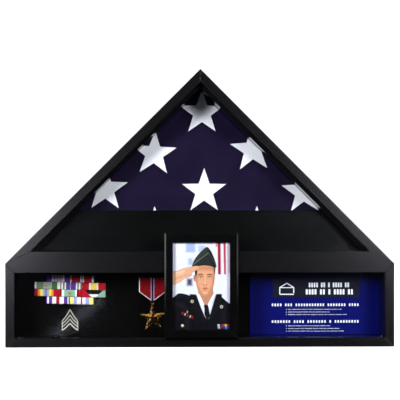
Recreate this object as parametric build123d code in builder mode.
from build123d import *

import os
from math import sqrt

# Folded flag display case: a triangular flag compartment over a long, low
# compartment for medals, with a small photo frame raised in the middle.
# The case faces -Y, +X is to the right and +Z is up. The origin is the middle
# of the case's footprint. All lengths are in millimetres.

# ---- driving dimensions: the case ----
WIDTH = 596.0
BASE_H = 128.0  # height of the upright sides, below the 45 degree roof
HEIGHT = BASE_H + WIDTH / 2
CASE_D = 82.0  # from the face frame's front to the boards' rear edges
FACE_W = 14.5  # width of the mitred face rails
FACE_T = 12.0  # their thickness
FACE_EASE = 0.8  # chamfer along their long front edges
SEAM_EASE = 0.35  # chamfer along their mitred ends, which leaves a fine groove at each joint
BOARD_T = 10.0  # box boards behind the face rails
OPENING_Z = 147.0  # lower edge of the triangular opening
DIVIDER_LOW = 118.5
DIVIDER_TOP = 142.5
GLASS_T = 2.0
LINER_T = 3.0  # liners of the lower compartment
FLAG_LINER_T = 9.0  # walls of the flag compartment
PANEL_T = 4.0
GAP = 0.5  # slip clearance round panes and panels
SOFT_GAP = 0.3  # clearance round soft things

# ---- depths, all measured back from the face frame's front ----
PANE_Y = FACE_T
LINER_Y = PANE_Y + GLASS_T
PANEL_Y = CASE_D - PANEL_T
FLAG_Y = 50.0
MAT_T = 3.0
MAT_Y = FLAG_Y - MAT_T - SOFT_GAP
MAT_TOP = 209.0
PIN_BOARD_Y = 58.0
PIN_BOARD_T = 10.0
BLOCK_W = 40.0  # spacer blocks between the pin board and the back panel
BLOCK_H = 60.0
BLOCK_X = 200.0

# ---- raised photo frame for a 4 x 6 inch print ----
PHOTO_X = 1.2
PHOTO_Z = 13.3
PHOTO_W = 112.5
PHOTO_H = 162.5
PHOTO_SIDE = 12.8  # width of the upright rails
PHOTO_END = 15.2  # width of the top and bottom rails
PHOTO_RAIL_T = 5.5
PHOTO_PROUD = 11.0  # how far the frame stands in front of the case
PHOTO_PLATE_T = 1.2
PRINT_W = 101.6
PRINT_H = 152.4
PRINT_T = 0.4
BACKING_T = 1.6
PHOTO_GLASS_T = 1.5
OUTER_CHAMFER = 2.4
INNER_CHAMFER = 0.8

# ---- hardware on the back ----
BUTTON_L = 28.0
BUTTON_W = 9.0
BUTTON_T = 2.2
BUTTON_LIFT = 0.3  # a washer's thickness off the board
BUTTON_EASE = 0.5
SLOPE_BUTTONS = (85.0, 215.0)  # across from the middle of the case
DIVIDER_BUTTON_X = 100.0
BOTTOM_BUTTON_X = 150.0
SCREW_R = 1.75
SCREW_RUN = 0.05  # radial running clearance of a button on its screw
SCREW_L = 14.0
HEAD_R = 3.4
HEAD_T = 1.5
HEAD_ROUND = 0.9
HANGER_X = 180.0
HANGER_L = 40.0
HANGER_H = 22.0
HANGER_T = 1.5
KEYHOLE_R = 4.3
KEYHOLE_SLOT_R = 2.2
KEYHOLE_RISE = 7.0
HANGER_SCREW_X = 15.0
HANGER_CORNER = 3.0
POCKET_DEPTH = 9.0
POCKET_GAP = 1.0  # the pocket's width and half its height beyond the keyhole

# ---- things pinned in the lower compartment ----
RIBBON_X = -203.4
RIBBON_TOP = 101.8  # middle of the top row
RIBBON_PITCH = 11.45
RIBBON_W = 36.8
RIBBON_H = 10.9
RIBBON_GAP = 0.4
RIBBON_T = 2.4
RIBBON_ROWS = (2, 3, 3, 2)
RACK_TILT = 1.3  # degrees, clockwise from the front
CHEVRON_Z = 37.2
CHEVRON_W = 27.2
CHEVRON_H = 34.5
CHEVRON_SHOULDER = 0.54  # how far down the outer corners lie, over the height
CHEVRON_NOTCH = 0.7  # how far down the notch below lies
CHEVRON_T = 2.0
MEDAL_X = -74.0
STAR_Z = 40.6
STAR_R = 21.4
STAR_WAIST = 0.42  # inner corner radius of the star over its outer radius
STAR_T = 3.0
STAR_POINTS = 5
UP = 90.0  # degrees from +X
MEDAL_RIBBON_W = 42.5
MEDAL_RIBBON_TOP = 104.0
MEDAL_RIBBON_TAPER = 81.0
MEDAL_RIBBON_END = 67.6
MEDAL_RIBBON_T = 1.2
RING_R = 2.6
RING_WIRE = 0.6
CARD_LEFT = 79.2
CARD_T = 1.5

# ---- places worked out from them ----
HALF = WIDTH / 2
REAR_PROUD = BUTTON_LIFT + BUTTON_T + HEAD_T
FRONT = PHOTO_PROUD - (PHOTO_PROUD + CASE_D + REAR_PROUD) / 2
INNER = HALF - BOARD_T
LINED = INNER - LINER_T
LIP = HALF - FACE_W

os.makedirs("parts", exist_ok=True)


def at(depth):
    """The upright plane that lies a depth behind the face frame's front."""
    return Plane.XZ.offset(-(FRONT + depth))


def slope(z, inset):
    """Half width at height z of the roof line moved inwards by inset."""
    return HEIGHT - inset * sqrt(2) - z


def outline(points, depth):
    """A flat face with an upright outline of (x, z) points."""
    with BuildSketch(at(depth)) as face:
        with BuildLine():
            Polyline(*points, close=True)
        make_face()
    return face.sketch


def mirrored(points, side):
    """The same outline for the left (-1) or the right (1) of the case."""
    return [(side * x, z) for x, z in points]


def box_outline(low_x, high_x, low_z, high_z):
    """The four corners of an upright rectangle."""
    return [(low_x, low_z), (high_x, low_z), (high_x, high_z), (low_x, high_z)]


def triangle(inset, low):
    """A right-angled triangle under the roof, inset from it, standing at height low."""
    return [(-slope(low, inset), low), (slope(low, inset), low), (0, low + slope(low, inset))]


def front_edges(piece):
    """The edges round a piece's front face, shortest first."""
    return piece.edges().group_by(Axis.Y)[0].sort_by(SortBy.LENGTH)


def ease(rail, outer, inner):
    """Chamfer a rail's outer and inner long front edges, then its mitred ends."""
    chamfer(front_edges(rail)[-1], length=outer)
    chamfer(front_edges(rail)[-2], length=inner)
    chamfer(front_edges(rail)[:-2], length=SEAM_EASE)


def save(piece, name):
    """Label a finished piece and write its STEP file."""
    piece.label = name
    export_step(piece, f"parts/{name}.step")


SIDES = (("left", -1), ("right", 1))

# ---- face frame: mitred rails ----
roof_rail_outline = [
    (0, HEIGHT),
    (HALF, BASE_H),
    (slope(OPENING_Z, FACE_W), OPENING_Z),
    (0, slope(0, FACE_W)),
]
stile_outline = [(HALF, 0), (HALF, BASE_H), (LIP, BASE_H - FACE_W), (LIP, FACE_W)]
middle_rail_outline = [
    (slope(OPENING_Z, FACE_W), OPENING_Z),
    (HALF, BASE_H),
    (LIP, BASE_H - FACE_W),
]

for side_name, side in SIDES:
    with BuildPart() as roof_rail:
        extrude(outline(mirrored(roof_rail_outline, side), 0), amount=-FACE_T)
        ease(roof_rail, FACE_EASE, FACE_EASE)
    save(roof_rail.part, f"roof_rail_{side_name}")

    with BuildPart() as stile:
        extrude(outline(mirrored(stile_outline, side), 0), amount=-FACE_T)
        ease(stile, FACE_EASE, FACE_EASE)
    save(stile.part, f"stile_{side_name}")

with BuildPart() as middle_rail:
    right_end = middle_rail_outline
    left_end = mirrored(reversed(middle_rail_outline), -1)
    extrude(outline(right_end + left_end, 0), amount=-FACE_T)
    ease(middle_rail, FACE_EASE, FACE_EASE)
save(middle_rail.part, "middle_rail")

with BuildPart() as bottom_rail:
    extrude(outline([(-HALF, 0), (HALF, 0), (LIP, FACE_W), (-LIP, FACE_W)], 0), amount=-FACE_T)
    ease(bottom_rail, FACE_EASE, FACE_EASE)
save(bottom_rail.part, "bottom_rail")

# ---- box boards behind the face frame ----
BOARD_D = CASE_D - FACE_T
eave = (INNER, slope(0, BOARD_T) - INNER)  # inner corner between roof and side
roof_board_outline = [(0, HEIGHT), (HALF, BASE_H), eave, (0, slope(0, BOARD_T))]
side_board_outline = [(INNER, 0), (HALF, 0), (HALF, BASE_H), eave]

for side_name, side in SIDES:
    with BuildPart() as roof_board:
        extrude(outline(mirrored(roof_board_outline, side), FACE_T), amount=-BOARD_D)
    save(roof_board.part, f"roof_board_{side_name}")

    with BuildPart() as side_board:
        extrude(outline(mirrored(side_board_outline, side), FACE_T), amount=-BOARD_D)
    save(side_board.part, f"side_board_{side_name}")

with BuildPart() as bottom_board:
    extrude(outline(box_outline(-INNER, INNER, 0, BOARD_T), FACE_T), amount=-BOARD_D)
save(bottom_board.part, "bottom_board")

hanger_z = (DIVIDER_LOW + DIVIDER_TOP) / 2
keyhole_z = hanger_z - KEYHOLE_RISE / 2

with BuildPart() as divider_board:
    right_end = [(slope(DIVIDER_TOP, BOARD_T), DIVIDER_TOP), eave, (INNER, DIVIDER_LOW)]
    left_end = mirrored(reversed(right_end), -1)
    extrude(outline(right_end + left_end, FACE_T), amount=-BOARD_D)
    with BuildSketch(at(CASE_D)):  # pockets behind the hangers, for the wall screws' heads
        with Locations((-HANGER_X, hanger_z), (HANGER_X, hanger_z)):
            pocket_w = 2 * KEYHOLE_R + POCKET_GAP
            SlotOverall(KEYHOLE_RISE + pocket_w + POCKET_GAP, pocket_w, rotation=90)
    extrude(amount=POCKET_DEPTH, mode=Mode.SUBTRACT)
save(divider_board.part, "divider_board")

# ---- panes, liners and mat ----
with BuildPart() as flag_glass:
    extrude(outline(triangle(BOARD_T + GAP, DIVIDER_TOP + GAP), PANE_Y), amount=-GLASS_T)
save(flag_glass.part, "flag_glass")

low_edges = box_outline(GAP - INNER, INNER - GAP, BOARD_T + GAP, DIVIDER_LOW - GAP)
with BuildPart() as lower_glass:
    extrude(outline(low_edges, PANE_Y), amount=-GLASS_T)
save(lower_glass.part, "lower_glass")

lined_roof = BOARD_T + FLAG_LINER_T
flag_liner_outline = [
    (0, slope(0, BOARD_T)),
    (slope(DIVIDER_TOP, BOARD_T), DIVIDER_TOP),
    (slope(DIVIDER_TOP, lined_roof), DIVIDER_TOP),
    (0, slope(0, lined_roof)),
]
FLAG_LINER_D = PANEL_Y - SOFT_GAP - LINER_Y
LOW_LINER_D = PIN_BOARD_Y - SOFT_GAP - LINER_Y

for side_name, side in SIDES:
    with BuildPart() as flag_liner:
        extrude(outline(mirrored(flag_liner_outline, side), LINER_Y), amount=-FLAG_LINER_D)
    save(flag_liner.part, f"flag_liner_{side_name}")

    with BuildPart() as lower_liner:
        side_strip = box_outline(LINED, INNER, BOARD_T, DIVIDER_LOW)
        extrude(outline(mirrored(side_strip, side), LINER_Y), amount=-LOW_LINER_D)
    save(lower_liner.part, f"lower_liner_{side_name}")

with BuildPart() as lower_liner_top:
    strip = box_outline(-LINED, LINED, DIVIDER_LOW - LINER_T, DIVIDER_LOW)
    extrude(outline(strip, LINER_Y), amount=-LOW_LINER_D)
save(lower_liner_top.part, "lower_liner_top")

with BuildPart() as lower_liner_bottom:
    strip = box_outline(-LINED, LINED, BOARD_T, BOARD_T + LINER_T)
    extrude(outline(strip, LINER_Y), amount=-LOW_LINER_D)
save(lower_liner_bottom.part, "lower_liner_bottom")

with BuildPart() as mat_panel:
    mat_inset = lined_roof + GAP
    mat_outline = [
        (slope(DIVIDER_TOP, mat_inset), DIVIDER_TOP),
        (slope(MAT_TOP, mat_inset), MAT_TOP),
        (-slope(MAT_TOP, mat_inset), MAT_TOP),
        (-slope(DIVIDER_TOP, mat_inset), DIVIDER_TOP),
    ]
    extrude(outline(mat_outline, MAT_Y), amount=-MAT_T)
save(mat_panel.part, "mat_panel")

# ---- the folded flag: a plain block that fills the triangle ----
with BuildPart() as folded_flag:
    flag_outline = triangle(lined_roof + SOFT_GAP, DIVIDER_TOP + SOFT_GAP)
    extrude(outline(flag_outline, FLAG_Y), amount=FLAG_Y + SOFT_GAP - PANEL_Y)
save(folded_flag.part, "folded_flag")

# ---- raised photo frame ----
photo_left = PHOTO_X - PHOTO_W / 2
photo_right = PHOTO_X + PHOTO_W / 2
photo_top = PHOTO_Z + PHOTO_H
window_left = photo_left + PHOTO_SIDE
window_right = photo_right - PHOTO_SIDE
window_low = PHOTO_Z + PHOTO_END
window_top = photo_top - PHOTO_END
outer_corners = [
    (photo_left, PHOTO_Z),
    (photo_right, PHOTO_Z),
    (photo_right, photo_top),
    (photo_left, photo_top),
]
window_corners = [
    (window_left, window_low),
    (window_right, window_low),
    (window_right, window_top),
    (window_left, window_top),
]

for corner, rail_name in enumerate(("bottom", "right", "top", "left")):
    with BuildPart() as photo_rail:
        following = (corner + 1) % 4
        rail_outline = [
            outer_corners[corner],
            outer_corners[following],
            window_corners[following],
            window_corners[corner],
        ]
        extrude(outline(rail_outline, -PHOTO_PROUD), amount=-PHOTO_RAIL_T)
        ease(photo_rail, OUTER_CHAMFER, INNER_CHAMFER)
    save(photo_rail.part, f"photo_rail_{rail_name}")

pocket_y = PHOTO_RAIL_T - PHOTO_PROUD
pocket_d = PHOTO_PROUD - PHOTO_RAIL_T - PHOTO_PLATE_T
spacer_w = (PHOTO_W - PRINT_W) / 2 - SOFT_GAP
for side_name, side in SIDES:
    with BuildPart() as photo_spacer:
        middle = PHOTO_X + side * (PHOTO_W - spacer_w) / 2
        upright = box_outline(middle - spacer_w / 2, middle + spacer_w / 2, PHOTO_Z, photo_top)
        extrude(outline(upright, pocket_y), amount=-pocket_d)
    save(photo_spacer.part, f"photo_spacer_{side_name}")

with BuildPart() as photo_spacer_bottom:
    sill = box_outline(photo_left + spacer_w, photo_right - spacer_w, PHOTO_Z, PHOTO_Z + spacer_w)
    extrude(outline(sill, pocket_y), amount=-pocket_d)
save(photo_spacer_bottom.part, "photo_spacer_bottom")

with BuildPart() as photo_back_plate:
    plate = box_outline(photo_left, photo_right, PHOTO_Z, photo_top)
    extrude(outline(plate, -PHOTO_PLATE_T), amount=-PHOTO_PLATE_T)
save(photo_back_plate.part, "photo_back_plate")

print_low = PHOTO_Z + spacer_w + SOFT_GAP
print_outline = box_outline(
    PHOTO_X - PRINT_W / 2, PHOTO_X + PRINT_W / 2, print_low, print_low + PRINT_H
)
with BuildPart() as photo_glass:
    extrude(outline(print_outline, pocket_y), amount=-PHOTO_GLASS_T)
save(photo_glass.part, "photo_glass")

print_y = pocket_y + PHOTO_GLASS_T + SOFT_GAP
with BuildPart() as photo_print:
    extrude(outline(print_outline, print_y), amount=-PRINT_T)
save(photo_print.part, "photo_print")

with BuildPart() as photo_backing:
    extrude(outline(print_outline, print_y + PRINT_T), amount=-BACKING_T)
save(photo_backing.part, "photo_backing")

# ---- back panels and the pin board ----
with BuildPart() as upper_back_panel:
    extrude(outline(triangle(BOARD_T + GAP, DIVIDER_TOP + GAP), PANEL_Y), amount=-PANEL_T)
save(upper_back_panel.part, "upper_back_panel")

with BuildPart() as lower_back_panel:
    extrude(outline(low_edges, PANEL_Y), amount=-PANEL_T)
save(lower_back_panel.part, "lower_back_panel")

with BuildPart() as pin_board:
    extrude(outline(low_edges, PIN_BOARD_Y), amount=-PIN_BOARD_T)
save(pin_board.part, "pin_board")

with BuildPart() as pin_board_blocks:
    block_d = PANEL_Y - PIN_BOARD_Y - PIN_BOARD_T
    with BuildSketch(at(PIN_BOARD_Y + PIN_BOARD_T)):
        with Locations(*[(x, (BOARD_T + DIVIDER_LOW) / 2) for x in (-BLOCK_X, 0, BLOCK_X)]):
            Rectangle(BLOCK_W, BLOCK_H)
    extrude(amount=-block_d)
save(pin_board_blocks.part, "pin_board_blocks")

# ---- things on the pin board ----
with BuildPart() as insert_card:
    card_low = BOARD_T + LINER_T + SOFT_GAP
    card_top = DIVIDER_LOW - LINER_T - SOFT_GAP
    card = box_outline(CARD_LEFT, LINED - SOFT_GAP, card_low, card_top)
    extrude(outline(card, PIN_BOARD_Y - CARD_T), amount=-CARD_T)
save(insert_card.part, "insert_card")

with BuildPart() as ribbon_bars:
    rack_middle = RIBBON_TOP - RIBBON_PITCH * (len(RIBBON_ROWS) - 1) / 2
    with BuildSketch(at(PIN_BOARD_Y - RIBBON_T)):
        with Locations(Location((RIBBON_X, rack_middle, 0), (0, 0, -RACK_TILT))):
            for row, bars in enumerate(RIBBON_ROWS):
                with Locations((0, RIBBON_TOP - rack_middle - row * RIBBON_PITCH)):
                    with GridLocations(RIBBON_W + RIBBON_GAP, 1, bars, 1):
                        Rectangle(RIBBON_W, RIBBON_H)
    extrude(amount=-RIBBON_T)
save(ribbon_bars.part, "ribbon_bars")

with BuildPart() as chevron_pin:
    chevron_half = CHEVRON_W / 2
    chevron_top = CHEVRON_Z + CHEVRON_H / 2
    shoulder = chevron_top - CHEVRON_H * CHEVRON_SHOULDER
    chevron_points = [
        (0, chevron_top),
        (chevron_half, shoulder),
        (chevron_half, chevron_top - CHEVRON_H),
        (0, chevron_top - CHEVRON_H * CHEVRON_NOTCH),
        (-chevron_half, chevron_top - CHEVRON_H),
        (-chevron_half, shoulder),
    ]
    placed = [(RIBBON_X + x, z) for x, z in chevron_points]
    extrude(outline(placed, PIN_BOARD_Y - CHEVRON_T), amount=-CHEVRON_T)
save(chevron_pin.part, "chevron_pin")

with BuildPart() as medal_ribbon:
    ribbon_half = MEDAL_RIBBON_W / 2
    ribbon_tip = RING_R + RING_WIRE
    drape = [
        (-ribbon_half, MEDAL_RIBBON_TOP),
        (ribbon_half, MEDAL_RIBBON_TOP),
        (ribbon_half, MEDAL_RIBBON_TAPER),
        (ribbon_tip, MEDAL_RIBBON_END),
        (-ribbon_tip, MEDAL_RIBBON_END),
        (-ribbon_half, MEDAL_RIBBON_TAPER),
    ]
    placed = [(MEDAL_X + x, z) for x, z in drape]
    extrude(outline(placed, PIN_BOARD_Y - MEDAL_RIBBON_T), amount=-MEDAL_RIBBON_T)
save(medal_ribbon.part, "medal_ribbon")

star_y = PIN_BOARD_Y - SOFT_GAP - STAR_T
ring_z = MEDAL_RIBBON_END - SOFT_GAP - RING_R - RING_WIRE
with BuildPart() as medal_star:
    with BuildSketch(at(star_y)):
        with BuildLine():
            tips = PolarLocations(STAR_R, STAR_POINTS, start_angle=UP).local_locations
            waist_r = STAR_R * STAR_WAIST
            half_step = 180 / STAR_POINTS
            waists = PolarLocations(waist_r, STAR_POINTS, start_angle=UP + half_step).local_locations
            corners = [spot.position for pair in zip(tips, waists) for spot in pair]
            Polyline(*[(MEDAL_X + c.X, STAR_Z + c.Y) for c in corners], close=True)
        make_face()
    extrude(amount=-STAR_T)
save(medal_star.part, "medal_star")

with BuildPart() as medal_ring:
    with Locations(Location((MEDAL_X, FRONT + star_y + STAR_T / 2, ring_z), (90, 0, 0))):
        Torus(RING_R, RING_WIRE)
save(medal_ring.part, "medal_ring")

# ---- turn buttons on the boards' rear edges ----
# Each one pivots on its screw. It rests along its board, clear of the panel,
# and a quarter turn brings it over the panel's edge.
divider_button_z = DIVIDER_LOW + BOARD_T / 2

pivots = {}  # name: (x, z, angle that the button points at)
for side_name, side in SIDES:
    for level, x in zip(("upper", "lower"), SLOPE_BUTTONS):
        pointing = -45 if side > 0 else 225
        pivots[f"{level}_{side_name}"] = (side * x, slope(x, BOARD_T / 2), pointing)
    along = 0 if side > 0 else 180
    pivots[f"divider_{side_name}"] = (side * DIVIDER_BUTTON_X, divider_button_z, along)
    pivots[f"bottom_{side_name}"] = (side * BOTTOM_BUTTON_X, BOARD_T / 2, along)

button_y = CASE_D + BUTTON_LIFT
for pivot_name, (x, z, pointing) in pivots.items():
    pivot = Location((x, z, 0), (0, 0, pointing))
    with BuildPart() as turn_button:
        with BuildSketch(at(button_y)):
            with Locations(pivot):
                with Locations(((BUTTON_L - BUTTON_W) / 2, 0)):
                    SlotOverall(BUTTON_L, BUTTON_W)
                Circle(SCREW_R + SCREW_RUN, mode=Mode.SUBTRACT)
        extrude(amount=-BUTTON_T)
        chamfer(turn_button.faces().sort_by(Axis.Y)[-1].outer_wire().edges(), length=BUTTON_EASE)
    save(turn_button.part, f"turn_button_{pivot_name}")


def screws(spots, seat, length):
    """Round-headed screws, all driven forwards, with their heads' undersides at seat."""
    with BuildPart() as group:
        with BuildSketch(at(seat)):
            with Locations(*spots):
                Circle(SCREW_R)
        extrude(amount=length)
        with BuildSketch(at(seat)):
            with Locations(*spots):
                Circle(HEAD_R)
        extrude(amount=-HEAD_T)
        rims = group.faces().group_by(Axis.Y)[-1].edges()
        fillet(rims, radius=HEAD_ROUND)
    return group.part


button_spots = [(x, z) for x, z, pointing in pivots.values()]
save(screws(button_spots, button_y + BUTTON_T, SCREW_L), "turn_button_screws")

# ---- keyhole hangers on the divider's rear edge ----
with BuildPart() as keyhole_hangers:
    with BuildSketch(at(CASE_D)):
        for x in (-HANGER_X, HANGER_X):
            with Locations((x, hanger_z)):
                RectangleRounded(HANGER_L, HANGER_H, HANGER_CORNER)
            with Locations((x, keyhole_z)):
                Circle(KEYHOLE_R, mode=Mode.SUBTRACT)
            with Locations((x, keyhole_z + KEYHOLE_RISE / 2)):
                SlotOverall(
                    KEYHOLE_RISE + 2 * KEYHOLE_SLOT_R,
                    2 * KEYHOLE_SLOT_R,
                    rotation=90,
                    mode=Mode.SUBTRACT,
                )
            with Locations((x - HANGER_SCREW_X, hanger_z), (x + HANGER_SCREW_X, hanger_z)):
                Circle(SCREW_R + SCREW_RUN, mode=Mode.SUBTRACT)
    extrude(amount=-HANGER_T)
save(keyhole_hangers.part, "keyhole_hangers")

hanger_spots = [
    (x + shift, hanger_z)
    for x in (-HANGER_X, HANGER_X)
    for shift in (-HANGER_SCREW_X, HANGER_SCREW_X)
]
save(screws(hanger_spots, CASE_D + HANGER_T, SCREW_L), "hanger_screws")
